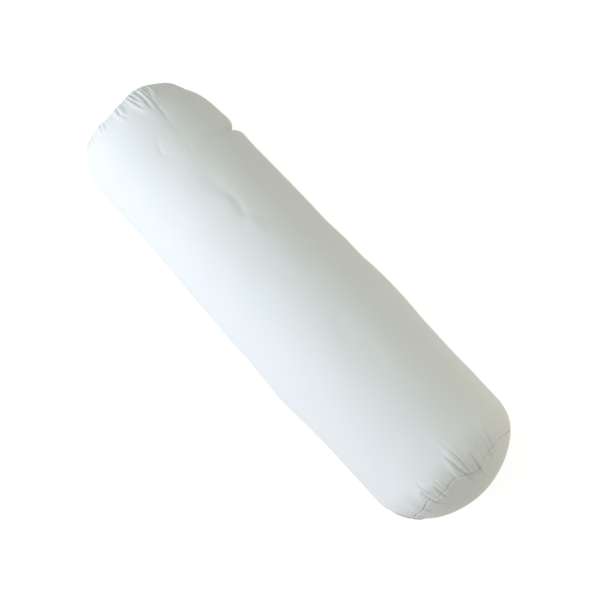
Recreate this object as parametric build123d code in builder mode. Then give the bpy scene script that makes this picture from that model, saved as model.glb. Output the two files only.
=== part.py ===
"""Bolster pillow: a cotton tube with two round end panels, sewn shut over polyester fibre stuffing.

Frame: millimetres, +Z up, +X along the pillow towards its plumper end. The origin is the middle of
the bounding box's base, on the surface that the pillow lies on.
"""

import os
from math import atan2, cos, degrees, radians, sin, sqrt

from build123d import *

# ---- Driving dimensions ----
overall_length = 690.0
tube_radius = 100.0
foot_sink = 7.0  # how far the round tube flattens where it lies on a surface
cloth = 0.5  # ticking with its soft nap

# Each end: the tube rounds over a shoulder arc to the seam, and the end panel is a shallow dome.
# Turns and rims are in degrees. side is +1 at the plump end and -1 at the slack one.
ends = {
    "right": {"side": 1, "shoulder_radius": 51.0, "shoulder_turn": 45.0, "dome_rim": 45.0},
    "left": {"side": -1, "shoulder_radius": 165.0, "shoulder_turn": 25.0, "dome_rim": 22.0},
}

allowance = 10.0  # cloth turned inwards at every seam
thread = 0.4  # diameter of the sewing thread
stitch_depth = 1.8  # from the seam's edge to its row of stitches
overlock_width = 4.0  # of the thread band that wraps a pair of raw edges
overlock_build = 0.35  # how far that band stands off the cloth
clearance = 0.1  # between an end seam's sewing and the lengthwise seam that runs up to it

side_seam_angle = -25.0  # of the lengthwise seam round the tube, from +Y towards +Z
side_seam_gap = 0.2  # between its two turned-in edges, pressed together
opening_length = 200.0  # the stretch of it left open for stuffing, then closed by hand
opening_centre = -20.0
closing_pitch = 5.0
closing_stitch = 3.2  # how far one hand stitch reaches across the seam
closing_slant = 25.0  # of each hand stitch, in degrees

parting_x = -228.0  # where the stuffing has parted, near the slack end
parting_bulge = 34.0  # the main mass ends there in a blunt dome of this height
slot_play = 1.0  # room in the stuffing round the turned-in seams

# ---- Worked-out dimensions ----
axis_height = tube_radius - foot_sink
far_out = 2 * tube_radius  # past the pillow in every direction across it
edge_depth = allowance + cloth  # of the lengthwise seam's raw edges, below the tube's surface
side_seam_thickness = 2 * cloth + side_seam_gap
wrap = cloth + overlock_build  # from an end seam's parting line to the face of its overlock band
sewing_room = cloth + thread + clearance  # from that line to where the lengthwise seam stops
slot_half = cloth + thread + slot_play
slot_depth = edge_depth + overlock_build + slot_play

for end in ends.values():
    turn = radians(end["shoulder_turn"])
    rim = radians(end["dome_rim"])
    end["seam_radius"] = tube_radius - end["shoulder_radius"] * (1 - cos(turn))
    end["shoulder_length"] = end["shoulder_radius"] * sin(turn)
    end["dome_radius"] = end["seam_radius"] / sin(rim)
    end["crown"] = end["dome_radius"] * (1 - cos(rim))
    end["seam_x"] = end["side"] * (overall_length / 2 - end["crown"])
    end["seam"] = Vector(end["seam_x"], end["seam_radius"])
    end["shoulder_centre"] = Vector(
        end["seam_x"] - end["side"] * end["shoulder_length"], tube_radius - end["shoulder_radius"]
    )
    end["dome_centre"] = Vector(end["side"] * (overall_length / 2 - end["dome_radius"]), 0)
    # The turned-in edges lie along the bisector of the shoulder's and the dome's normals.
    outward = Vector(end["side"] * (sin(turn) + cos(rim)), cos(turn) + sin(rim)).normalized()
    end["inward"] = -outward
    end["tube_side"] = Vector(-outward.Y, outward.X) * end["side"]
    end["opening_x"] = opening_centre + end["side"] * opening_length / 2

# ---- Planes: x along the pillow, y away from its axis ----
axis_line = Axis((0, 0, axis_height), (1, 0, 0))
side_view = Plane(origin=(0, 0, axis_height), x_dir=(1, 0, 0), z_dir=(0, -1, 0))
side_seam_turn = Rotation(side_seam_angle, 0, 0)
side_seam_view = Plane(
    origin=(0, 0, axis_height),
    x_dir=(1, 0, 0),
    z_dir=(side_seam_turn * Location((0, 0, 1))).position,
)


# ---- Profiles, drawn above the pillow's axis: x along the pillow, y its radius ----
def inset_seam(end, inset):
    """Where the shoulder and the dome meet once both are moved in by inset."""
    shoulder, dome = end["shoulder_radius"] - inset, end["dome_radius"] - inset
    between = end["dome_centre"] - end["shoulder_centre"]
    along = (shoulder**2 - dome**2 + between.length**2) / (2 * between.length)
    across = sqrt(max(0.0, shoulder**2 - along**2))
    step = between.normalized()
    normal = Vector(step.Y, -step.X) * end["side"]
    return end["shoulder_centre"] + step * along + normal * across


def heading(point, centre):
    """The direction from centre to point, in degrees."""
    return degrees(atan2(point.Y - centre.Y, point.X - centre.X))


def shoulder_arc(end, inset, short=0.0):
    """The tube's rounded shoulder, moved in by inset: from the straight tube to short of the seam."""
    centre = end["shoulder_centre"]
    radius = end["shoulder_radius"] - inset
    turn = heading(inset_seam(end, inset), centre) - 90
    turn += end["side"] * degrees(short / radius)
    return CenterArc((centre.X, centre.Y), radius, 90, turn)


def dome_arc(end, inset):
    """The end panel's dome, moved in by inset: from its crown on the axis to the seam."""
    centre = end["dome_centre"]
    start = 0 if end["side"] > 0 else 180
    turn = heading(inset_seam(end, inset), centre) - start
    return CenterArc((centre.X, 0), end["dome_radius"] - inset, start, turn)


def outline(inset):
    """Half the pillow's side view, moved in by inset, as a face that stands on the axis."""
    with BuildSketch() as face:
        with BuildLine():
            left_dome = dome_arc(ends["left"], inset)
            left_shoulder = shoulder_arc(ends["left"], inset)
            right_shoulder = shoulder_arc(ends["right"], inset)
            right_dome = dome_arc(ends["right"], inset)
            Line(left_shoulder @ 0, right_shoulder @ 0)
            Line(left_dome @ 0, right_dome @ 0)
        make_face()
    return face.sketch


def beside_seam(end, across, depth):
    """A point inwards of an end seam by depth, and off its parting line by across, positive towards
    the tube."""
    point = end["seam"] + end["inward"] * depth + end["tube_side"] * across
    return (point.X, point.Y)


def strip(end, near, far, start, reach):
    """A band beside an end seam's parting line, from near to far across it and from start to reach
    inwards of the seam."""
    corners = ((near, start), (far, start), (far, reach), (near, reach))
    with BuildSketch() as face:
        with BuildLine():
            Polyline(*[beside_seam(end, across, depth) for across, depth in corners], close=True)
        make_face()
    return face.sketch


def end_zone(end, margin=0.0):
    """All that lies on the end panel's side of the parting line, and margin past it."""
    outer = beside_seam(end, margin, -allowance)
    inner = beside_seam(end, margin, 2 * allowance)
    past = end["side"] * 2 * overall_length
    with BuildSketch() as face:
        with BuildLine():
            Polyline(outer, inner, (inner[0], 0), (past, 0), (past, outer[1]), close=True)
        make_face()
    return face.sketch


outside = outline(0)
lining = outline(cloth)


# ---- Blocks that several pieces are cut with ----
def above(height):
    """A block that holds all of the pillow above a height."""
    sits_on = (Align.CENTER, Align.CENTER, Align.MIN)
    block = Box(2 * overall_length, 2 * far_out, 2 * far_out, align=sits_on, mode=Mode.PRIVATE)
    return Pos(0, 0, height) * block


def side_seam_slab(thickness, left=-overall_length, right=overall_length):
    """A flat slab in the lengthwise seam's plane, from the axis outwards, between two stations."""
    sits_on = (Align.MIN, Align.MIN, Align.CENTER)
    slab = Box(right - left, far_out, thickness, align=sits_on, mode=Mode.PRIVATE)
    return Pos(left, 0, axis_height) * side_seam_turn * slab


# ---- The casing: one rectangle of cloth rolled into a tube, and a round panel at each end ----
with BuildPart() as turned_in_edges:
    with BuildSketch(side_view):
        add(lining)
        add(outline(edge_depth), mode=Mode.SUBTRACT)
        for end in ends.values():
            add(end_zone(end, sewing_room), mode=Mode.SUBTRACT)
    revolve(axis=axis_line)
    add(side_seam_slab(side_seam_thickness), mode=Mode.INTERSECT)

with BuildPart() as foot:
    with BuildSketch(side_view):
        add(outside)
        for end in ends.values():
            add(end_zone(end), mode=Mode.SUBTRACT)
    revolve(axis=axis_line)
    add(above(0), mode=Mode.INTERSECT)
    add(above(cloth), mode=Mode.SUBTRACT)

with BuildPart() as body_panel:
    with BuildSketch(side_view):
        add(outside)
        add(lining, mode=Mode.SUBTRACT)
        for end in ends.values():
            add(end_zone(end), mode=Mode.SUBTRACT)
            add(strip(end, 0, cloth, 0, allowance))
        add(outside, mode=Mode.INTERSECT)
    revolve(axis=axis_line)
    add(above(0), mode=Mode.INTERSECT)
    add(foot.part)
    add(turned_in_edges.part)
    add(side_seam_slab(side_seam_gap), mode=Mode.SUBTRACT)

os.makedirs("parts", exist_ok=True)
body_panel.part.label = "body_panel"
export_step(body_panel.part, "parts/body_panel.step")

for name, end in ends.items():
    with BuildPart() as end_panel:
        with BuildSketch(side_view):
            add(outside)
            add(lining, mode=Mode.SUBTRACT)
            add(end_zone(end), mode=Mode.INTERSECT)
            add(strip(end, -cloth, 0, 0, allowance))
            add(outside, mode=Mode.INTERSECT)
        revolve(axis=axis_line)
    end_panel.part.label = f"{name}_end_panel"
    export_step(end_panel.part, f"parts/{name}_end_panel.step")


# ---- The stuffing: two masses of fibre, parted near the slack end ----
with BuildPart() as side_seam_slot:
    with BuildSketch(side_view):
        add(outside)
        add(outline(slot_depth), mode=Mode.SUBTRACT)
    revolve(axis=axis_line)
    add(side_seam_slab(2 * slot_half + side_seam_gap), mode=Mode.INTERSECT)

# The main mass ends in part of a sphere, which meets the tube's surface at parting_x.
parting_radius = (tube_radius**2 + parting_bulge**2) / (2 * parting_bulge)
parting_centre = parting_x - parting_bulge + parting_radius
parting_turn = degrees(atan2(tube_radius, parting_centre - parting_x))
with BuildPart() as beyond_parting:
    with BuildSketch(side_view):
        with BuildLine():
            bulge = CenterArc((parting_centre, 0), parting_radius, 180, -parting_turn)
            Polyline(
                bulge @ 1, (parting_x, far_out), (-overall_length, far_out), (-overall_length, 0), bulge @ 0
            )
        make_face()
    revolve(axis=axis_line)

with BuildPart() as stuffing:
    with BuildSketch(side_view):
        add(lining)
        for end in ends.values():
            add(strip(end, -slot_half, slot_half, -cloth, slot_depth), mode=Mode.SUBTRACT)
    revolve(axis=axis_line)
    add(above(cloth), mode=Mode.INTERSECT)
    add(side_seam_slot.part, mode=Mode.SUBTRACT)

with BuildPart() as main_stuffing:
    add(stuffing.part)
    add(beyond_parting.part, mode=Mode.SUBTRACT)
main_stuffing.part.label = "main_stuffing"
export_step(main_stuffing.part, "parts/main_stuffing.step")

with BuildPart() as left_end_stuffing:
    add(stuffing.part)
    add(beyond_parting.part, mode=Mode.INTERSECT)
left_end_stuffing.part.label = "left_end_stuffing"
export_step(left_end_stuffing.part, "parts/left_end_stuffing.step")


# ---- Sewing at each end seam: needle and bobbin rows, and a thread band round the raw edges ----
for name, end in ends.items():
    with BuildPart() as seam_thread:
        rows = [beside_seam(end, side * (cloth + thread / 2), stitch_depth) for side in (-1, 1)]
        with BuildSketch(side_view):
            with Locations(*rows):
                Circle(thread / 2)
        revolve(axis=axis_line)
    seam_thread.part.label = f"{name}_seam_thread"
    export_step(seam_thread.part, f"parts/{name}_seam_thread.step")

    with BuildPart() as overlock:
        with BuildSketch(side_view):
            add(strip(end, -wrap, wrap, allowance - overlock_width, allowance + overlock_build))
            add(strip(end, -cloth, cloth, 0, allowance), mode=Mode.SUBTRACT)
        revolve(axis=axis_line)
    overlock.part.label = f"{name}_overlock_thread"
    export_step(overlock.part, f"parts/{name}_overlock_thread.step")


# ---- Sewing along the tube, on both sides of the stuffing opening ----
row_offset = side_seam_gap / 2 + cloth + thread / 2

for name, end in ends.items():
    with BuildPart() as side_thread:
        for side in (-1, 1):
            with BuildLine(side_seam_view.offset(side * row_offset)) as row:
                shoulder = shoulder_arc(end, stitch_depth, short=sewing_room)
                Line(shoulder @ 0, (end["opening_x"], tube_radius - stitch_depth))
            with BuildSketch(Plane(origin=row.line @ 0, z_dir=row.line % 0)):
                Circle(thread / 2)
            sweep(path=row.line)
    side_thread.part.label = f"{name}_side_thread"
    export_step(side_thread.part, f"parts/{name}_side_thread.step")

    stretch = sorted((end["opening_x"], end["side"] * overall_length))
    with BuildPart() as side_overlock:
        with BuildSketch(side_view):
            add(outline(edge_depth - overlock_width))
            add(outline(edge_depth + overlock_build), mode=Mode.SUBTRACT)
            add(end_zone(end, sewing_room), mode=Mode.SUBTRACT)
        revolve(axis=axis_line)
        add(side_seam_slab(side_seam_thickness + 2 * overlock_build, *stretch), mode=Mode.INTERSECT)
        add(turned_in_edges.part, mode=Mode.SUBTRACT)
    side_overlock.part.label = f"{name}_side_overlock"
    export_step(side_overlock.part, f"parts/{name}_side_overlock.step")

# The hand stitches lie across the closed opening, on the outside of the tube.
stitch_count = int(opening_length / closing_pitch)
with BuildPart() as closing_stitches:
    on_seam = Plane(side_seam_view.origin, x_dir=side_seam_view.x_dir, z_dir=side_seam_view.y_dir)
    with Locations(on_seam.offset(tube_radius + thread / 2)):
        with Locations((opening_centre, 0)):
            with GridLocations(closing_pitch, 0, stitch_count, 1):
                Cylinder(thread / 2, closing_stitch, rotation=(90, 0, closing_slant))
closing_stitches.part.label = "closing_stitches"
export_step(closing_stitches.part, "parts/closing_stitches.step")
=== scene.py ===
"""Bolster pillow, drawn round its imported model. Lengths are in metres.

The casing starts as one net of points: rings round the pillow, from one end panel over both end seams
to the other, and a disc of points that closes each end. settle() relaxes that net as cloth with spare
width over soft stuffing, which gives the gathers. The three cloth panels are then cut from the net
along the seams, and the stuffing and the sewing follow the same lines.
"""

from math import cos, pi, radians, sin

import bpy
import numpy as np
from mathutils import Matrix, Vector


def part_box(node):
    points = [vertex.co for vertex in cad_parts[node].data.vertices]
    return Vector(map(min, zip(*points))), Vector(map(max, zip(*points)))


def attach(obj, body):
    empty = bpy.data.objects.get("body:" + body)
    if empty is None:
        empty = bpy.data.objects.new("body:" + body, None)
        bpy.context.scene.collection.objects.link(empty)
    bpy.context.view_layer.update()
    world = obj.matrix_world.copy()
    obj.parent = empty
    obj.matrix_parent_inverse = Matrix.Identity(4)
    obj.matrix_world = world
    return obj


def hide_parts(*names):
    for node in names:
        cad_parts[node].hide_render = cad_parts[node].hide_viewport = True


MM = 0.001

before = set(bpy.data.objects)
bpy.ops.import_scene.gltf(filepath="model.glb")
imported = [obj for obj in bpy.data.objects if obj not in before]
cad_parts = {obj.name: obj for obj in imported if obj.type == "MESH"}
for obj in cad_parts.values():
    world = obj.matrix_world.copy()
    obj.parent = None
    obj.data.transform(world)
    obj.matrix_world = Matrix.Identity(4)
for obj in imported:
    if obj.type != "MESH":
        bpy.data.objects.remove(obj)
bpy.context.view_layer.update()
random = np.random.default_rng(7)

# ---- Sizes from the frame ----
body_low, body_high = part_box("body_panel")
radius = (body_high.y - body_low.y) / 2
axis_height = body_high.z - radius

# Each end: its side along X, its seam, the dome of its panel, and the shoulder of the tube.
ends = {
    "left": {"side": -1, "shoulder_turn": radians(25)},
    "right": {"side": 1, "shoulder_turn": radians(45)},
}
for name, end in ends.items():
    low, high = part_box(f"{name}_end_panel")
    end["seam_x"] = body_high.x if end["side"] > 0 else body_low.x
    end["seam_radius"] = (high.y - low.y) / 2
    end["crown_x"] = high.x if end["side"] > 0 else low.x
    crown = abs(end["crown_x"] - end["seam_x"])
    end["dome_radius"] = (end["seam_radius"] ** 2 + crown**2) / (2 * crown)
    end["dome_turn"] = np.arcsin(end["seam_radius"] / end["dome_radius"])
    end["shoulder_radius"] = (radius - end["seam_radius"]) / (1 - cos(end["shoulder_turn"]))

# ---- Cloth and sewing ----
cloth = 0.5 * MM
seam_gap = 0.12 * MM  # from a seam's middle to each of its two turned-in edges
allowance = 10 * MM
stitch_depth = 1.8 * MM
thread = 0.4 * MM
side_seam_angle = radians(-25)  # of the lengthwise seam, from +Y towards +Z
opening_low, opening_high = (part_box("closing_stitches")[k].x for k in (0, 1))

# ---- The parted stuffing ----
parting_x = -228 * MM  # where the two masses meet under the cloth, and the tube has a crease
parting_bulge = 34 * MM  # how far the main mass domes into the smaller one
parting_turn = 14  # the direction in which the crease is deepest, in degrees

# ---- The net's spacing ----
columns = 392  # points round each ring, counted from the lengthwise seam
seam_step = 2.2 * MM  # between rings near the end seams
seam_reach = 34 * MM
fine_spots = [(parting_x, 14 * MM, 3 * MM), (-105 * MM, 34 * MM, 6 * MM)]  # (x, reach either way, step)
coarse_step = 19 * MM
step_growth = 0.16  # how much a step grows for each metre away from there
band_width = 15 * MM  # of each end panel's own rings, inside its seam
angles = side_seam_angle + 2 * pi * np.arange(columns) / columns


# ---- The plain outline ----
def end_outline(end):
    """Points (x, radius) of one end's outline: over the dome, then over the shoulder."""
    side, dome_radius, shoulder_radius = end["side"], end["dome_radius"], end["shoulder_radius"]
    turns = np.linspace(0, end["dome_turn"], 200)
    x = end["crown_x"] - side * dome_radius * (1 - np.cos(turns))
    dome = np.stack([x, dome_radius * np.sin(turns)], 1)
    turns = np.linspace(end["shoulder_turn"], 0, 200)
    x = end["seam_x"] - side * shoulder_radius * (sin(end["shoulder_turn"]) - np.sin(turns))
    shoulder = np.stack([x, radius - shoulder_radius * (1 - np.cos(turns))], 1)
    end["dome_length"] = end["dome_turn"] * dome_radius
    return np.concatenate([dome, shoulder[1:]])


outline = np.concatenate([end_outline(ends["left"]), end_outline(ends["right"])[::-1]])
steps = np.linalg.norm(np.diff(outline, axis=0), axis=1)
outline_places = np.concatenate([[0], np.cumsum(steps)])
outline_length = outline_places[-1]


def ring_places():
    """Each ring's place along the outline, from the left crown, and which rings are the end seams."""
    left_seam, right_seam = ends["left"]["dome_length"], outline_length - ends["right"]["dome_length"]
    spots = [(np.interp(x, outline[:, 0], outline_places), reach, step) for x, reach, step in fine_spots]
    spots += [(left_seam, seam_reach, seam_step), (right_seam, seam_reach, seam_step)]
    tube = [left_seam]
    while tube[-1] < right_seam:
        steps = [step + step_growth * max(abs(tube[-1] - place) - reach, 0) for place, reach, step in spots]
        tube.append(tube[-1] + min(*steps, coarse_step))
    tube = left_seam + (np.array(tube) - left_seam) * (right_seam - left_seam) / (tube[-1] - left_seam)
    band = np.arange(band_width, 0, -seam_step)
    places = np.concatenate([left_seam - band, tube, right_seam + band[::-1]])
    return places, len(band), len(places) - 1 - len(band)


places, left_seam, right_seam = ring_places()
rings = len(places)
seam_rings = {"left": left_seam, "right": right_seam}


def disc_net(across):
    """A square net of points spread over the unit disc, and its rim in order of angle."""
    steps = np.linspace(-1, 1, across + 1)
    u, v = np.meshgrid(steps, steps, indexing="ij")
    wide = np.abs(u) >= np.abs(v)
    reach = np.where(wide, u, v)
    share = np.divide(np.where(wide, v, u), reach, out=np.zeros_like(u), where=reach != 0)
    turn = np.where(wide, share, 2 - share) * pi / 4
    disc = np.stack([reach * np.cos(turn), reach * np.sin(turn)], -1)
    for _ in range(40):  # evens out the net where its four quarters meet
        disc[1:-1, 1:-1] = (disc[2:, 1:-1] + disc[:-2, 1:-1] + disc[1:-1, 2:] + disc[1:-1, :-2]) / 4
    index = np.arange((across + 1) ** 2).reshape(across + 1, across + 1)
    rim = np.concatenate([index[-1, :-1], index[:0:-1, -1], index[0, :0:-1], index[:-1, 0]])
    return disc.reshape(-1, 2), index, rim


def disc_polar(disc, rim):
    """Each disc point's distance from the middle, and its direction, with the rim's first at the side seam."""
    turns = np.arctan2(disc[:, 1], disc[:, 0])
    return np.linalg.norm(disc, axis=1), turns - turns[rim[0]] + side_seam_angle


def grid_quads(index, closed=False, flip=False):
    """The quads of a grid of point numbers, closed round its second axis if asked."""
    if closed:
        index = np.concatenate([index, index[:, :1]], axis=1)
    corners = [index[:-1, :-1], index[:-1, 1:], index[1:, 1:], index[1:, :-1]]
    return np.stack(corners[::-1] if flip else corners, -1).reshape(-1, 4)


def on_outline(place, turn):
    """Points of the plain pillow at places along its outline, in directions round its axis."""
    x = np.interp(place, outline_places, outline[:, 0])
    r = np.interp(place, outline_places, outline[:, 1])
    return np.stack(np.broadcast_arrays(x, r * np.cos(turn), axis_height + r * np.sin(turn)), -1)


def lay_net():
    """The net on the plain outline: each point's place and direction, its quads, and each cap's grid."""
    disc, disc_index, rim = disc_net(columns // 4)
    reach, turn = disc_polar(disc, rim)
    inside = np.setdiff1d(np.arange(len(disc)), rim)
    index = np.arange(rings * columns).reshape(rings, columns)
    place_parts = [np.repeat(places, columns)]
    turn_parts = [np.tile(angles, rings)]
    quad_parts = [grid_quads(index, closed=True)]
    grids = {}
    count = rings * columns
    for name, ring in (("left", 0), ("right", rings - 1)):
        cap_place = reach * (places[0] if name == "left" else outline_length - places[-1])
        place_parts.append((cap_place if name == "left" else outline_length - cap_place)[inside])
        turn_parts.append(turn[inside])
        numbers = np.empty(len(disc), int)
        numbers[rim] = index[ring]
        numbers[inside] = count + np.arange(len(inside))
        count += len(inside)
        grids[name] = numbers[disc_index]
        quad_parts.append(grid_quads(grids[name], flip=name == "right"))
    return np.concatenate(place_parts), np.concatenate(turn_parts), np.concatenate(quad_parts), index, grids


net_place, net_turn, quads, ring_index, cap_grids = lay_net()
point_count = len(net_place)
from_seam = {  # along the cloth from each end seam, positive on the tube
    "left": net_place - places[left_seam],
    "right": places[right_seam] - net_place,
}


def turn_from(direction):
    """How far round the pillow each net point is from a direction in degrees, from -180 to 180."""
    return (np.degrees(net_turn) - direction + 180) % 360 - 180


# The end seams wander off their circles: (direction, half width in degrees, shift along X in mm).
seam_wander = {
    "left": [(80, 14, -2), (110, 12, 2), (150, 20, -2), (30, 16, 2), (-40, 22, -3), (-110, 20, 2), (190, 18, 2)],
    "right": [
        (130, 34, -3), (136, 5, -5), (108, 7, -4), (89, 9, 11), (60, 9, -3),
        (20, 14, 5), (-35, 18, -5), (-90, 16, 5), (-150, 20, -4),
    ],
}
wander_reach = 34 * MM  # how far from a seam the cloth follows its wandering


def wander(name):
    """How far each net point is carried along the pillow by the wandering of one end seam."""
    shift = sum(mm * MM * np.exp(-((turn_from(turn) / width) ** 2)) for turn, width, mm in seam_wander[name])
    return shift * np.exp(-((from_seam[name] / wander_reach) ** 2))


plain = on_outline(net_place + wander("right"), net_turn)
plain[:, 0] += wander("left")
plain[:, 2] = np.maximum(plain[:, 2], 0)


# ---- Sums over the net ----
def gathered(values, index, count):
    """Adds each row of values to the row of the result that index names."""
    return np.stack([np.bincount(index, values[:, axis], count) for axis in range(3)], -1)


def unit(vectors):
    """Each vector at length 1."""
    return vectors / np.maximum(np.linalg.norm(vectors, axis=-1, keepdims=True), 1e-12)


def normals_of(points):
    """The net's outward direction at each of its points."""
    across = points[quads[:, 2]] - points[quads[:, 0]]
    along = points[quads[:, 3]] - points[quads[:, 1]]
    faces = np.cross(across, along)
    return unit(sum(gathered(faces, quads[:, corner], len(points)) for corner in range(4)))


def waves(points, length, count=14):
    """A smooth random field with a typical length, made of plane waves, about 1 at its largest."""
    directions = unit(random.normal(size=(count, 3))) * random.uniform(0.6, 1.5, (count, 1))
    phases = random.uniform(0, 2 * pi, count)
    field = np.cos(points @ directions.T * 2 * pi / length + phases).sum(1)
    return field / np.sqrt(2 * count)


net_x = plain[:, 0]

# ---- The stuffing's shape ----
unevenness_waves = [(200 * MM, 0.7 * MM), (70 * MM, 0.45 * MM)]  # (length, height) of its random waves
even_middle = 0.7  # share of the radius within which swells and dents fade towards the pillow's axis
# Soft swells and dents: (x, direction in degrees, half length along X, half width round the tube, height),
# in mm but for the direction.
relief = [
    (92, 191, 50, 60, 4.6),
    (-20, 191, 60, 50, 1.6),
    (76, 11, 48, 60, 3.4),
    (-10, 11, 24, 50, 1.6),
    (-215, 191, 95, 60, -4.6),
    (-322, 22, 18, 50, -5),
    (300, 191, 22, 50, -5),
    (285, 11, 22, 50, -2),
    (-143, 88, 26, 9, -0.8),
    (-128, 90, 13, 9, 1.2),
    (-84, 86, 13, 8, 1.1),
    (88, 92, 30, 14, -0.9),
    (190, 55, 40, 16, -1.2),
    (-40, 40, 60, 18, -1.0),
    (60, 215, 50, 20, -1.4),
    (-160, -60, 40, 20, -1.6),
    (200, 160, 36, 18, -1.0),
    (-60, 150, 45, 16, -0.9),
]
# Shallow creases on the tube: (x and direction where it starts, the same where it ends, depth, half width),
# in mm and degrees.
tube_creases = [
    (-140, 86, -121, 84, 0.7, 5),
    (-121, 84, -97, 88, 1.0, 5),
    (-98, 88, -84, 79, 1.0, 5),
    (-84, 79, -72, 66, 0.7, 5),
    (-247, 95.5, -240, 99.5, 0.6, 2.5),
    (-240, 99.5, -229, 101, 0.7, 2.5),
    (-229, 101, -218, 95, 0.6, 2.5),
    (-268, 79.5, -240, 79.5, 0.3, 4),
    (-238, 80, -206, 84, 0.25, 5),
    (-30, 97, 10, 93, 0.5, 6),
    (120, 84, 160, 91, 0.5, 6),
    (20, 150, 60, 139, 0.6, 6),
    (-180, 130, -140, 122, 0.5, 6),
    (150, 30, 190, 42, 0.6, 6),
    (-60, 20, -20, 32, 0.6, 6),
    (100, 230, 60, 245, 0.8, 5),
    (-120, 250, -90, 262, 0.8, 5),
    (0, -50, 50, -42, 0.8, 5),
]
# The crease where the stuffing has parted, between two lobes.
crease_lean = 20 * MM  # how far it runs along the pillow for each radian round it
crease_arc = 34  # its half width round the pillow, in degrees
crease_depth, crease_half_width, crease_sharpness = 13 * MM, 6.5 * MM, 1.4
lobe_height, lobe_half_length = 3.4 * MM, 24 * MM
lying_height = 20 * MM  # below this the swells fade out, so that the flat underside stays flat


def to_segment(x, turn, x_a, turn_a, x_b, turn_b):
    """The distance over the tube, and the share of the way, from points to a segment between two others."""
    across = radius * np.radians((turn - turn_a + 180) % 360 - 180)
    along = x - x_a
    end_along, end_across = x_b - x_a, radius * np.radians(turn_b - turn_a)
    share = (along * end_along + across * end_across) / (end_along**2 + end_across**2)
    share = np.clip(share, 0, 1)
    return np.hypot(along - share * end_along, across - share * end_across), share


def shape_stuffing():
    """Moves the plain net in and out to the uneven surface of the stuffing."""
    turn = np.degrees(net_turn)
    height = sum(size * waves(plain, length) for length, size in unevenness_waves)
    off_axis = np.clip(np.hypot(plain[:, 1], plain[:, 2] - axis_height) / (even_middle * radius), 0, 1) ** 2
    for x, direction, half_length, half_width, swell in relief:
        along = (net_x / MM - x) / half_length
        around = radius / MM * np.radians(turn_from(direction)) / half_width
        height += off_axis * swell * MM * np.exp(-(along**2) - around**2)
    for x_a, turn_a, x_b, turn_b, depth, half_width in tube_creases:
        distance, share = to_segment(net_x, turn, x_a * MM, turn_a, x_b * MM, turn_b)
        height -= depth * MM * np.exp(-((distance / (half_width * MM)) ** 2)) * (0.4 + 0.6 * np.sin(pi * share))
    lean = np.radians(turn_from(parting_turn)) * crease_lean
    along = net_x - parting_x - lean
    arc = np.exp(-((turn_from(parting_turn) / crease_arc) ** 2))
    lobes = lobe_height * np.exp(-((along / lobe_half_length) ** 2))
    crease = crease_depth * np.exp(-np.abs(along / crease_half_width) ** crease_sharpness)
    height += arc * (lobes - crease)
    points = plain + normals_of(plain) * height[:, None]
    lying = np.clip((plain[:, 2] - 2 * MM) / lying_height, 0, 1)
    points[:, 2] = plain[:, 2] + (points[:, 2] - plain[:, 2]) * lying
    return points


# ---- Gathers ----
# Where spare cloth is bunched at each end seam: (direction and half width in degrees, share of spare
# width, reach along the tube in mm).
bunches = {
    "right": [
        (97, 5, 0.5, 30), (88, 4, 0.45, 20), (67, 2.5, 0.45, 26), (127, 7, 0.6, 17), (150, 3, 0.25, 12),
        (-10, 4, 0.45, 18), (-58, 8, 0.5, 22), (-118, 7, 0.5, 24), (172, 6, 0.55, 20), (208, 4, 0.45, 18),
    ],
    "left": [
        (72, 4, 0.55, 18), (83, 6, 0.7, 30), (103, 3, 0.5, 14), (147, 8, 0.35, 9), (125, 3, 0.35, 10),
        (40, 5, 0.4, 18), (2, 7, 0.5, 26), (-48, 6, 0.5, 20), (-95, 5, 0.45, 18), (-140, 8, 0.5, 26),
        (182, 5, 0.45, 22),
    ],
}
# Sharp folds: (end, direction and distance from the seam where it starts, the same where it ends, depth),
# in degrees and mm.
folds = [
    ("right", 101.0, 47, 99.8, 8, 1.4),
    ("right", 100.6, 24, 96.3, -24, 1.2),
    ("right", 96.6, 52, 94.7, 18, 1.1),
    ("right", 87.8, 25, 84.0, -28, 1.3),
    ("right", 68.6, 42, 67.7, 2, 1.4),
    ("right", 78.5, 23, 78.5, 12, 0.9),
    ("right", 128.5, 28, 127.1, 8, 1.3),
    ("right", 131.2, 14, 132.5, -26, 1.3),
    ("right", 121.0, 16, 123.5, -18, 1.2),
    ("right", 126.5, 37, 131.0, 13, 0.8),
    ("left", 79.2, 66, 77.0, 28, 1.5),
    ("left", 78.0, 40, 70.4, 4, 1.5),
    ("left", 83.2, 46, 80.6, 12, 1.3),
    ("left", 80.8, 24, 82.0, 2, 1.4),
    ("left", 77.4, 26, 76.5, 2, 1.3),
    ("left", 86.8, 32, 89.3, 3, 1.5),
    ("left", 84.6, 22, 85.5, 1, 1.3),
    ("left", 74.0, 18, 73.0, 1, 1.2),
    ("left", 92.5, 16, 93.0, 1, 1.0),
    ("left", 100.6, 32, 103.7, 10, 1.3),
    ("left", 104.4, 18, 102.8, 0, 1.4),
    ("left", 126.2, 20, 123.5, 4, 0.9),
    ("left", 138.0, 12, 138.0, 2, 0.7),
    ("left", 146.0, 10, 147.0, 2, 0.7),
    ("left", 155.0, 10, 156.0, 2, 0.7),
]
fold_half_width = 1.6 * MM
fold_onset = 0.4  # the share of a fold's length over which it comes in
slack = 0.03  # spare width all round each end seam
slack_reach = 22 * MM
panel_reach = 9 * MM  # how far the gathers run into an end panel


def spare_width():
    """The share of spare cloth round the pillow at each net point."""
    spare = np.zeros(point_count)
    for name, clumps in bunches.items():
        gap = from_seam[name]
        for direction, width, share, reach in clumps:
            fade = np.exp(-((gap / np.where(gap > 0, reach * MM, panel_reach)) ** 2))
            spare += share * np.exp(-((turn_from(direction) / width) ** 2)) * fade
        spare += slack * np.exp(-((gap / slack_reach) ** 2))
    return spare


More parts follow.
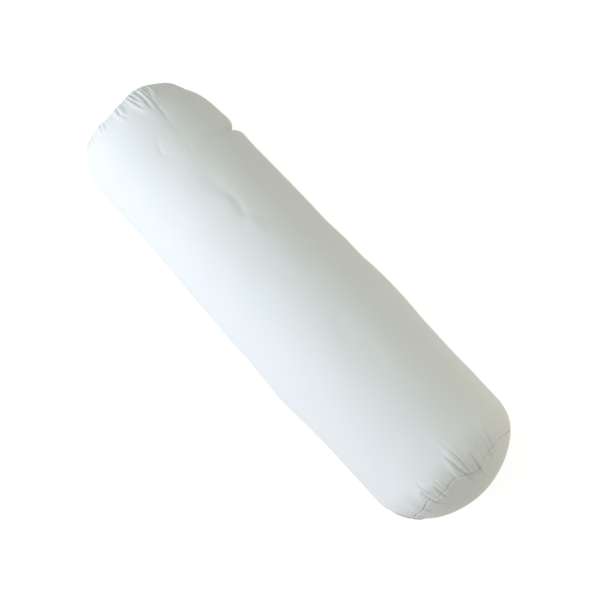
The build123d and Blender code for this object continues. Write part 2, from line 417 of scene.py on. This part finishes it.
def fold_depth():
    """How far each net point is drawn inwards by the sharp folds."""
    total = np.zeros(point_count)
    for name, turn_a, gap_a, turn_b, gap_b, depth in folds:
        distance, share = to_segment(from_seam[name], np.degrees(net_turn), gap_a * MM, turn_a, gap_b * MM, turn_b)
        fade = np.sqrt(np.clip(share / fold_onset, 0, 1))
        total += depth * MM * fade * np.exp(-distance / fold_half_width)
    return total


settling_steps = 400
push = 0.006 * MM  # outwards at each step, where the cloth is loose
stiffness = 0.012  # against bending
firm, soft = 0.03, 0.003  # the stuffing's pull on cloth that is under its surface, and over it
momentum = 0.8
over_relaxation = 1.5
loose_spare = 0.1  # the share of spare width at which cloth is fully loose
first_ripples = 0.5 * MM  # lines along the pillow that the gathers grow from
ripple_passes = 30  # which draw those lines out along the pillow


def settle(base, spare, folded, steps):
    """Relaxes the net as cloth that has spare width round the pillow, over stuffing that pushes out."""
    sides = np.sort(np.concatenate([quads[:, [k, (k + 1) % 4]] for k in range(4)]), axis=1)
    sides = np.unique(sides, axis=0)
    links = np.concatenate([sides, quads[:, [0, 2]], quads[:, [1, 3]]])
    a, b = links.T
    gap = base[b] - base[a]
    middle = (base[a] + base[b]) / 2 - (0, 0, axis_height)
    around = unit(np.stack([np.zeros(len(links)), -middle[:, 2], middle[:, 1]], -1))
    hoop = (gap * around).sum(1)
    lengthwise = np.linalg.norm(gap - hoop[:, None] * around, axis=1)
    rest = np.hypot(hoop * (1 + (spare[a] + spare[b]) / 2), lengthwise)
    valence = np.bincount(links.ravel(), minlength=point_count)[:, None]
    side_valence = np.bincount(sides.ravel(), minlength=point_count)[:, None]
    out = normals_of(base)

    def unevenness(offset):
        change = offset[sides[:, 1]] - offset[sides[:, 0]]
        into = gathered(change, sides[:, 0], point_count) - gathered(change, sides[:, 1], point_count)
        return into / side_valence

    base = base - out * folded[:, None]
    lines = random.normal(size=(rings, columns))
    for _ in range(ripple_passes):
        lines[1:-1] = (lines[1:-1] + lines[2:] + lines[:-2]) / 3
    rough = np.zeros(point_count)
    rough[: rings * columns] = (lines / lines.std()).ravel()
    loose = np.clip(spare / loose_spare, 0, 1)[:, None]
    points = base + out * first_ripples * rough[:, None] * loose
    previous = points
    for _ in range(steps):
        points, previous = points + momentum * (points - previous) + out * push * loose, points
        gap = points[b] - points[a]
        move = gap * (0.5 * (1 - rest / np.linalg.norm(gap, axis=1)))[:, None]
        pull = gathered(move, a, point_count) - gathered(move, b, point_count)
        points = points + over_relaxation * pull / valence
        offset = points - base
        offset = offset - stiffness * unevenness(unevenness(offset))
        depth = (offset * out).sum(1)
        points = base + offset - out * (np.where(depth < 0, firm, soft) * depth)[:, None]
        points[:, 2] = np.maximum(points[:, 2], 0)
    return points


stuffed = shape_stuffing()
stuffed_normals = normals_of(stuffed)
casing = settle(stuffed, spare_width(), fold_depth(), settling_steps)
casing_normals = normals_of(casing)


# ---- Where the three cloth panels are sewn together ----
def smooth_line(values, closed, passes=12):
    """Evens out a row of vectors along its length."""
    for _ in range(passes):
        before, after = np.roll(values, 1, 0), np.roll(values, -1, 0)
        if not closed:
            before[0], after[-1] = values[0], values[-1]
        values = (before + values + after) / 3
    return values


def seam_line(line, closed):
    """A seam's points, the way into the pillow at each, and the way across the seam at each."""
    points = casing[line]
    inward = unit(smooth_line(-casing_normals[line], closed))
    along = np.roll(points, -1, 0) - np.roll(points, 1, 0) if closed else np.gradient(points, axis=0)
    return {"points": points, "inward": inward, "across": unit(np.cross(along, inward)), "closed": closed}


seams = {name: seam_line(ring_index[ring], closed=True) for name, ring in seam_rings.items()}
seams["side"] = seam_line(ring_index[left_seam : right_seam + 1, 0], closed=False)

# A panel's edge rolls over into its seam: (share of the way to the next row of points, depth).
roll = [(0.6, 0.08), (0.32, 0.35), (0.12, 0.9)]
turned_depths = [1.8, 4.5, 7.5, 10.0]  # of the rows of its turned-in allowance
edge_rows = len(turned_depths) + len(roll)


def hem(sheet, inward):
    """A sheet whose first row is a seam, with that edge rolled over and its allowance turned in."""
    edge, step = sheet[0], sheet[1] - sheet[0]
    rolled = [edge + share * step + depth * MM * inward for share, depth in roll]
    turned = [edge + seam_gap * unit(step) + depth * MM * inward for depth in turned_depths]
    return np.concatenate([turned[::-1], rolled[::-1], sheet[1:]])


def hem_places(sheet_places):
    """The place of each row of a hemmed sheet on the flat cloth."""
    step = sheet_places[1] - sheet_places[0]
    rolled = [sheet_places[0] + share * step for share, _ in roll]
    turned = [sheet_places[0] - np.sign(step) * depth * MM for depth in turned_depths]
    return np.concatenate([turned[::-1], rolled[::-1], sheet_places[1:]])


# ---- Materials ----
yarn_pitch = 0.4 * MM
cotton_colour = (0.68, 0.69, 0.68)
cotton_warm = (0.69, 0.685, 0.665)
thread_colour = (0.82, 0.83, 0.81)
thread_shade = (0.62, 0.63, 0.61)
fibre_colour = (0.9, 0.9, 0.89)
fibre_shade = (0.72, 0.72, 0.71)


def new_material(name, colour, roughness, sheen):
    """A cloth-like material, with its node tree and its shader."""
    material = bpy.data.materials.new(name)
    material.use_nodes = True
    shader = material.node_tree.nodes["Principled BSDF"]
    shader.inputs["Base Color"].default_value = (*colour, 1)
    shader.inputs["Roughness"].default_value = roughness
    shader.inputs["Sheen Weight"].default_value = sheen
    shader.inputs["Sheen Roughness"].default_value = 0.45
    return material, material.node_tree, shader


def add_node(tree, kind, inputs, output=0, **settings):
    """Adds a node, sets or links its inputs by name or number, and gives one of its outputs."""
    node = tree.nodes.new(kind)
    for key, value in settings.items():
        setattr(node, key, value)
    for key, value in inputs.items():
        if isinstance(value, bpy.types.NodeSocket):
            tree.links.new(value, node.inputs[key])
        else:
            node.inputs[key].default_value = value
    return node.outputs[output]


def blend(tree, factor, low, high, mode="MIX"):
    """A mix of two colours or sockets."""
    low, high = [(*colour, 1) if isinstance(colour, tuple) else colour for colour in (low, high)]
    inputs = {"Factor": factor, 6: low, 7: high}
    return add_node(tree, "ShaderNodeMix", inputs, output=2, data_type="RGBA", blend_type=mode)


def bump(tree, height, strength, distance, under=None):
    """Raises a height map, on top of another bump if one is given."""
    inputs = {"Height": height, "Strength": strength, "Distance": distance}
    if under:
        inputs["Normal"] = under
    return add_node(tree, "ShaderNodeBump", inputs)


def cotton():
    """White cotton in plain weave, faintly uneven in colour, with the soft creases of handling."""
    material, tree, shader = new_material("white_cotton", cotton_colour, 0.86, 0.1)
    flat = add_node(tree, "ShaderNodeUVMap", {}, uv_map="flat")
    place = add_node(tree, "ShaderNodeTexCoord", {}, output="Object")
    wave_scale = pi / (10 * yarn_pitch)
    yarns = [
        add_node(
            tree,
            "ShaderNodeTexWave",
            {"Vector": flat, "Scale": wave_scale, "Distortion": 1.2, "Detail Scale": 2},
            output="Fac",
            bands_direction=direction,
        )
        for direction in ("X", "Y")
    ]
    weave = add_node(tree, "ShaderNodeMath", {0: yarns[0], 1: yarns[1]}, operation="MULTIPLY")
    slubs = add_node(tree, "ShaderNodeTexNoise", {"Vector": flat, "Scale": 900, "Detail": 3}, output="Fac")
    handled = add_node(
        tree, "ShaderNodeTexNoise", {"Vector": place, "Scale": 24, "Detail": 4, "Distortion": 0.8}, output="Fac"
    )
    tint = add_node(tree, "ShaderNodeTexNoise", {"Vector": place, "Scale": 7, "Detail": 3}, output="Fac")
    colour = blend(tree, tint, cotton_colour, cotton_warm)
    tree.links.new(blend(tree, 0.05, colour, slubs, "MULTIPLY"), shader.inputs["Base Color"])
    creases = bump(tree, handled, 0.5, 0.6 * MM)
    grain = bump(tree, slubs, 0.35, 0.06 * MM, creases)
    tree.links.new(bump(tree, weave, 0.5, 0.05 * MM, grain), shader.inputs["Normal"])
    return material


def spun_thread():
    """White spun thread, with the twist of its plies, and painted shade in the grooves between them."""
    material, tree, shader = new_material("spun_thread", thread_colour, 0.7, 0.2)
    place = add_node(tree, "ShaderNodeTexCoord", {}, output="Object")
    twist = add_node(
        tree,
        "ShaderNodeTexWave",
        {"Vector": place, "Scale": 350, "Distortion": 2},
        output="Fac",
        bands_direction="DIAGONAL",
    )
    # painted shade: thread_shade goes where the twist's bump is low, in the grooves between the plies
    tree.links.new(blend(tree, twist, thread_shade, thread_colour), shader.inputs["Base Color"])
    tree.links.new(bump(tree, twist, 0.6, 0.05 * MM), shader.inputs["Normal"])
    return material


def fibre():
    """Polyester fibre: matted strands in tufts, with painted shade in the hollows between the strands."""
    material, tree, shader = new_material("polyester_fibre", fibre_colour, 0.9, 0.4)
    place = add_node(tree, "ShaderNodeTexCoord", {}, output="Object")
    strands = add_node(
        tree,
        "ShaderNodeTexNoise",
        {"Vector": place, "Scale": 90, "Detail": 8, "Roughness": 0.75, "Distortion": 4},
        output="Fac",
    )
    tufts = add_node(tree, "ShaderNodeTexVoronoi", {"Vector": place, "Scale": 45}, output="Distance")
    # painted shade: fibre_shade goes where the strands' bump is low, in the hollows between them
    tree.links.new(blend(tree, strands, fibre_shade, fibre_colour), shader.inputs["Base Color"])
    loft = bump(tree, tufts, 0.6, 3 * MM)
    tree.links.new(bump(tree, strands, 0.8, 1 * MM, loft), shader.inputs["Normal"])
    return material


materials = {"cotton_cloth": cotton(), "sewing_thread": spun_thread(), "fibre_stuffing": fibre()}


# ---- Making pieces ----
def add_piece(name, node, slot, points, faces):
    """A smooth-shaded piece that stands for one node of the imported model, and the points it uses."""
    used = np.unique(faces)
    numbers = np.zeros(len(points), int)
    numbers[used] = np.arange(len(used))
    mesh = bpy.data.meshes.new(name)
    mesh.from_pydata(points[used].tolist(), [], numbers[faces].tolist())
    mesh.shade_smooth()
    mesh.materials.append(materials[slot])
    piece = bpy.data.objects.new(name, mesh)
    bpy.context.scene.collection.objects.link(piece)
    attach(piece, "root")
    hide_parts(node)
    return piece, used


def add_panel(node, points, faces, flat):
    """A panel of cloth with its thickness, and its place on the flat cloth as the map called flat."""
    piece, used = add_piece(f"{node}_cloth", node, "cotton_cloth", points, faces)
    corners = np.empty(len(piece.data.loops), int)
    piece.data.loops.foreach_get("vertex_index", corners)
    layer = piece.data.uv_layers.new(name="flat")
    layer.data.foreach_set("uv", flat[used][corners].ravel())
    thickness = piece.modifiers.new("thickness", "SOLIDIFY")
    thickness.thickness = cloth
    thickness.offset = -1


# ---- The casing ----
def add_body_panel():
    """The tube: one rectangle of cloth, with its two long edges and its two ends turned in."""
    tube = casing[ring_index[left_seam : right_seam + 1]]
    wide = np.concatenate([tube, tube[:, :1]], axis=1).swapaxes(0, 1)
    inward = seams["side"]["inward"]
    wide = hem(wide, inward)
    wide = hem(wide[::-1], inward)[::-1].swapaxes(0, 1)
    for name in ("left", "right"):
        ways = seams[name]["inward"]
        corner = np.repeat(ways[:1], edge_rows, 0)
        wide = hem(wide, np.concatenate([corner, ways[1:], corner]))[::-1]
    rows, across = wide.shape[:2]
    along = hem_places(hem_places(places[left_seam : right_seam + 1])[::-1])[::-1]
    around = np.append(angles, angles[0] + 2 * pi) * radius
    around = hem_places(hem_places(around)[::-1])[::-1]
    flat = np.stack(np.broadcast_arrays(around[None], along[:, None]), -1).reshape(-1, 2)

    faces = grid_quads(np.arange(rows * across).reshape(rows, across))
    row, column = np.divmod(faces[:, 0], across)
    from_end = np.minimum(row, rows - 2 - row)
    from_side = np.minimum(column, across - 2 - column)
    clear = edge_rows + 3  # the rows at each end where the long edges' allowances are cut away
    faces = faces[(from_side >= len(turned_depths)) | (from_end >= clear)]
    add_panel("body_panel", wide.reshape(-1, 3), faces, flat)


def add_end_panel(name):
    """A round panel, with its rim turned in at the seam."""
    seam, leftward = seam_rings[name], name == "left"
    band_rings = ring_index[seam::-1] if leftward else ring_index[seam:]
    band = hem(casing[band_rings], seams[name]["inward"])
    rows, grid = len(band), cap_grids[name]
    inside = np.setdiff1d(grid, band_rings[-1])
    numbers = np.zeros(point_count, int)
    numbers[band_rings[-1]] = (rows - 1) * columns + np.arange(columns)
    numbers[inside] = rows * columns + np.arange(len(inside))
    band_quads = grid_quads(np.arange(rows * columns).reshape(rows, columns), closed=True, flip=leftward)
    faces = np.concatenate([band_quads, grid_quads(numbers[grid], flip=not leftward)])
    from_crown = net_place if leftward else outline_length - net_place
    reach = np.concatenate([np.repeat(hem_places(from_crown[band_rings[:, 0]]), columns), from_crown[inside]])
    turn = np.concatenate([np.tile(angles, rows), net_turn[inside]])
    flat = np.stack([reach * np.cos(turn), reach * np.sin(turn)], 1)
    add_panel(f"{name}_end_panel", np.concatenate([band.reshape(-1, 3), casing[inside]]), faces, flat)


add_body_panel()
add_end_panel("left")
add_end_panel("right")

# ---- The stuffing ----
under_cloth = 3 * MM
channel_depth = 11 * MM  # of the channels that the turned-in allowances sit in
channel_reach = 2.5 * MM
lump = 1.2 * MM  # height of its tufts
lump_length, parted_lump_length = 38 * MM, 30 * MM
parting_gap = 3 * MM  # from the parting to each of the two masses


def stuffing_surface():
    """The net on the outside of the stuffing: under the cloth's deepest folds, clear of the allowances."""
    drawn = np.maximum(-((casing - stuffed) * stuffed_normals).sum(1), 0)
    tube = drawn[: rings * columns].reshape(rings, columns)
    for _ in range(3):
        tube = np.max([tube, np.roll(tube, 1, 1), np.roll(tube, -1, 1)], axis=0)
        tube[1:-1] = np.max([tube[1:-1], tube[2:], tube[:-2]], axis=0)
    drawn[: rings * columns] = tube.ravel()
    depth = under_cloth + drawn + lump * (1 + waves(plain, lump_length))
    to_side = np.abs(radius * np.radians(turn_from(np.degrees(side_seam_angle))))
    on_tube = (from_seam["left"] > 0) & (from_seam["right"] > 0)
    gaps = [np.abs(from_seam["left"]), np.abs(from_seam["right"]), np.where(on_tube, to_side, 1)]
    channel = sum(np.clip(1.6 - gap / channel_reach, 0, 1) for gap in gaps)
    return stuffed - stuffed_normals * (depth + channel_depth * np.minimum(channel, 1))[:, None]


def parted_face(rim):
    """The domed face where the stuffing has parted: its inner points, their numbers, and the whole grid."""
    disc, index, edge = disc_net(len(rim) // 4)
    reach, turn = disc_polar(disc, edge)
    turns = np.append(angles[::2], angles[0] + 2 * pi)
    closed_rim = np.concatenate([rim, rim[:1]])
    turn = angles[0] + (turn - angles[0]) % (2 * pi)
    out = np.stack([np.interp(turn, turns, closed_rim[:, k]) for k in range(3)], 1)
    points = rim.mean(0) + reach[:, None] * (out - rim.mean(0))
    points[:, 0] -= parting_bulge * (1 - reach**2) - lump * waves(points, parted_lump_length) * (1 - reach)
    inside = np.setdiff1d(np.arange(len(disc)), edge)
    return points[inside], inside, index, edge


def add_stuffing(name, node, kept_rings, leftward):
    """A mass of fibre: every second column of some of the net's rings, an end cap and a parted face."""
    tube = stuffing[ring_index[kept_rings][:, ::2]]
    rows, across = tube.shape[:2]
    cap = cap_grids["left" if leftward else "right"][::2, ::2]
    cap_rim = ring_index[0 if leftward else rings - 1, ::2]
    inside = np.setdiff1d(cap, cap_rim)
    cap_row, face_row = (0, rows - 1) if leftward else (rows - 1, 0)
    numbers = np.zeros(point_count, int)
    numbers[cap_rim] = cap_row * across + np.arange(across)
    numbers[inside] = rows * across + np.arange(len(inside))
    face, face_inside, face_index, face_edge = parted_face(tube[face_row])
    face_numbers = np.zeros(face_index.size, int)
    face_numbers[face_edge] = face_row * across + np.arange(across)
    face_numbers[face_inside] = rows * across + len(inside) + np.arange(len(face_inside))
    faces = [
        grid_quads(np.arange(rows * across).reshape(rows, across), closed=True),
        grid_quads(numbers[cap], flip=not leftward),
        grid_quads(face_numbers[face_index], flip=leftward),
    ]
    points = np.concatenate([tube.reshape(-1, 3), stuffing[inside], face])
    piece, _ = add_piece(name, node, "fibre_stuffing", points, np.concatenate(faces))


stuffing = stuffing_surface()
ring_x = np.interp(places, outline_places, outline[:, 0])
add_stuffing("left_end_fibre", "left_end_stuffing", np.flatnonzero(ring_x < parting_x - parting_gap), True)
add_stuffing("main_fibre", "main_stuffing", np.flatnonzero(ring_x > parting_x + parting_gap), False)


# ---- Sewing ----
def add_threads(name, node, paths, sides, closed=False, corners=6):
    """Round threads along paths of equal length in points; sides are rough ways out from the paths."""
    paths, sides = np.array(paths), np.array(sides)
    count, length = paths.shape[:2]
    if closed:
        along = unit(np.roll(paths, -1, 1) - np.roll(paths, 1, 1))
    else:
        along = unit(np.gradient(paths, axis=1))
    first = unit(sides - (sides * along).sum(-1, keepdims=True) * along)
    second = np.cross(along, first)
    turns = 2 * pi * np.arange(corners) / corners
    spokes = first[:, :, None] * np.cos(turns)[:, None] + second[:, :, None] * np.sin(turns)[:, None]
    points = paths[:, :, None] + thread / 2 * spokes
    faces = []
    for index in np.arange(count * length * corners).reshape(count, length, corners):
        if closed:
            index = np.concatenate([index, index[:1]])
        else:
            first_cap, last_cap = index[0, ::-1], index[-1]
            faces += [cap[[0, k, k + 1, k + 2]][None] for cap in (first_cap, last_cap) for k in (1, 3)]
        faces.append(grid_quads(index, closed=True))
    add_piece(name, node, "sewing_thread", points.reshape(-1, 3), np.concatenate(faces))


def along_seam(name, start=None, stop=None, step=0.5 * MM):
    """Points close together along a seam, from start to stop along X if given, with its ways in and across."""
    seam = seams[name]
    parts = [seam["points"], seam["inward"], seam["across"]]
    if seam["closed"]:
        parts = [np.concatenate([part, part[:1]]) for part in parts]
    run = np.concatenate([[0], np.cumsum(np.linalg.norm(np.diff(parts[0], axis=0), axis=1))])
    low, high = (0, run[-1]) if start is None else np.interp([start, stop], parts[0][:, 0], run)
    spots = np.linspace(low, high, round((high - low) / step), endpoint=not seam["closed"])
    line, inward, across = [np.stack([np.interp(spots, run, part[:, k]) for k in range(3)], 1) for part in parts]
    return spots, high - low, line, unit(inward), unit(across)


stitch_pitch = 3 * MM
face_offset = seam_gap + cloth + thread / 2  # from a seam's middle to a thread on its cloth's far face
overlock_pitch = 2.2 * MM
overlock_width = 4 * MM


def add_lockstitch(name, node, seam, start=None, stop=None):
    """The needle and bobbin rows of a seam, which dip into the cloth between stitches."""
    spots, length, line, inward, across = along_seam(seam, start, stop)
    stitches = round(length / stitch_pitch)
    dip = cloth * np.cos(pi * (spots - spots[0]) * stitches / length) ** 8
    rows = [line + stitch_depth * inward + side * (face_offset - dip)[:, None] * across for side in (-1, 1)]
    add_threads(name, node, rows, [inward, inward], closed=seams[seam]["closed"])


def add_overlock(name, node, seam, start=None, stop=None):
    """A thread that loops round the two raw edges of a seam's allowances."""
    spots, length, line, inward, across = along_seam(seam, start, stop, step=overlock_pitch / 12)
    phase = 2 * pi * (spots - spots[0]) * round(length / overlock_pitch) / length
    into, aside = [np.sign(wave) * np.sqrt(np.abs(wave)) for wave in (np.cos(phase), np.sin(phase))]
    reach = (overlock_width + thread) / 2
    depth = allowance + thread - reach + reach * into
    loops = line + depth[:, None] * inward + face_offset * aside[:, None] * across
    add_threads(name, node, [loops], [np.cross(inward, across)], closed=seams[seam]["closed"])


closing_pitch = 5 * MM
closing_stitch = 3.2 * MM
closing_slant = radians(25)
closing_scatter, slant_scatter = 0.3 * MM, 0.07
closing_rise, closing_plunge = 0.25 * MM, 0.9 * MM  # above the cloth in its middle, and down at its ends


def add_closing_stitches():
    """Slanted hand stitches from one edge of the opening to the other."""
    count = round((opening_high - opening_low) / closing_pitch)
    spots = opening_low + (np.arange(count) + 0.5) * closing_pitch + random.normal(0, closing_scatter, count)
    slants = closing_slant + random.normal(0, slant_scatter, count)
    seam_x = seams["side"]["points"][:, 0]
    share = np.linspace(-1, 1, 15)[:, None]
    paths, sides = [], []
    for spot, slant in zip(spots, slants):
        point, inward, across = [
            np.array([np.interp(spot, seam_x, seams["side"][part][:, k]) for k in range(3)])
            for part in ("points", "inward", "across")
        ]
        way = cos(slant) * across + sin(slant) * np.cross(inward, across)
        rise = closing_rise - closing_plunge * share**4
        paths.append(point + share * closing_stitch / 2 * way - rise * inward)
        sides.append(np.tile(-inward, (len(share), 1)))
    add_threads("hand_stitches", "closing_stitches", paths, sides)


end_clearance = 8 * MM  # from an end seam to the lengthwise seam's first stitch
side_ends = (ends["left"]["seam_x"] + end_clearance, ends["right"]["seam_x"] - end_clearance)
for name in ("left", "right"):
    add_lockstitch(f"{name}_seam_rows", f"{name}_seam_thread", name)
    add_overlock(f"{name}_overlock_loops", f"{name}_overlock_thread", name)
for name, start, stop in (("left", side_ends[0], opening_low), ("right", opening_high, side_ends[1])):
    add_lockstitch(f"{name}_side_rows", f"{name}_side_thread", "side", start, stop)
    add_overlock(f"{name}_side_loops", f"{name}_side_overlock", "side", start, stop)
add_closing_stitches()


# ---- Floor, light and camera ----
camera_azimuth, camera_elevation = radians(48.1), radians(73.3)
camera_distance = 1.2
focal_share = 908 / 600  # the focal length as a share of the picture's width
look_height = 95 * MM  # of the middle of the camera's orbit
aim_right, aim_down = 13 * MM, 11.5 * MM  # from there to the point that the camera aims at
floor_size, floor_albedo, floor_glow = 12, 0.2, 0.86
surroundings, surroundings_strength = (0.99, 0.94, 0.75), 0.39
back = Vector(
    (sin(camera_azimuth) * cos(camera_elevation), -cos(camera_azimuth) * cos(camera_elevation), sin(camera_elevation))
)
right = Vector((cos(camera_azimuth), sin(camera_azimuth), 0))
up = back.cross(right)
middle = Vector((0, 0, axis_height))
key_from = (-right * 0.9 - up * 0.1 + back * 0.43).normalized()
sky_from = (back - Vector((0.35, 0, 0))).normalized()
lamps = {  # name: (place, size, watts, colour, the point it faces)
    "key": (middle + key_from * 1.6, 0.9, 20, (0.72, 0.8, 1.0), middle),
    "sky": (middle + sky_from * 1.7, 1.2, 12.8, (0.78, 0.93, 1.0), middle),
    "fill": (Vector((0.45, 0.6, 0.3)), 0.3, 0.8, (1, 0.96, 0.84), Vector((0.2, 0, 0.1))),
}


def add_lamp(name, place, size, watts, colour, target):
    """A square soft light that faces target."""
    light = bpy.data.lights.new(name, "AREA")
    light.size, light.energy, light.color = size, watts, colour
    lamp = bpy.data.objects.new(name, light)
    lamp.location = place
    lamp.rotation_euler = (target - place).to_track_quat("-Z", "Y").to_euler()
    bpy.context.scene.collection.objects.link(lamp)


def add_studio():
    """A pale glowing floor, dim warm surroundings, and the soft lamps."""
    bpy.ops.mesh.primitive_plane_add(size=floor_size)
    floor = bpy.context.object
    floor.name = "floor"
    paint = bpy.data.materials.new("floor_paint")
    paint.use_nodes = True
    shader = paint.node_tree.nodes["Principled BSDF"]
    shader.inputs["Base Color"].default_value = (floor_albedo, floor_albedo, floor_albedo, 1)
    shader.inputs["Roughness"].default_value = 0.95
    shader.inputs["Emission Color"].default_value = (1, 1, 1, 1)
    shader.inputs["Emission Strength"].default_value = floor_glow
    floor.data.materials.append(paint)
    world = bpy.data.worlds.new("studio")
    world.use_nodes = True
    bpy.context.scene.world = world
    background = world.node_tree.nodes["Background"]
    background.inputs["Color"].default_value = (*surroundings, 1)
    background.inputs["Strength"].default_value = surroundings_strength
    for name, (place, size, watts, colour, target) in lamps.items():
        add_lamp(name, place, size, watts, colour, target)
    bpy.context.scene.view_settings.view_transform = "Standard"


def add_camera():
    """The camera, aimed so that the pillow sits a little up and left of the picture's middle."""
    seam_middle = Vector(((ends["left"]["seam_x"] + ends["right"]["seam_x"]) / 2, 0, look_height))
    lens = bpy.data.cameras.new("camera")
    lens.sensor_width = 36
    lens.lens = lens.sensor_width * focal_share
    camera = bpy.data.objects.new("camera", lens)
    place = seam_middle + back * camera_distance
    aim = seam_middle + right * aim_right - up * aim_down
    camera.location = place
    toward = (place - aim).normalized()
    across = up.cross(toward).normalized()
    camera.rotation_euler = Matrix((across, toward.cross(across), toward)).transposed().to_euler()
    bpy.context.scene.collection.objects.link(camera)
    bpy.context.scene.camera = camera


add_studio()
add_camera()
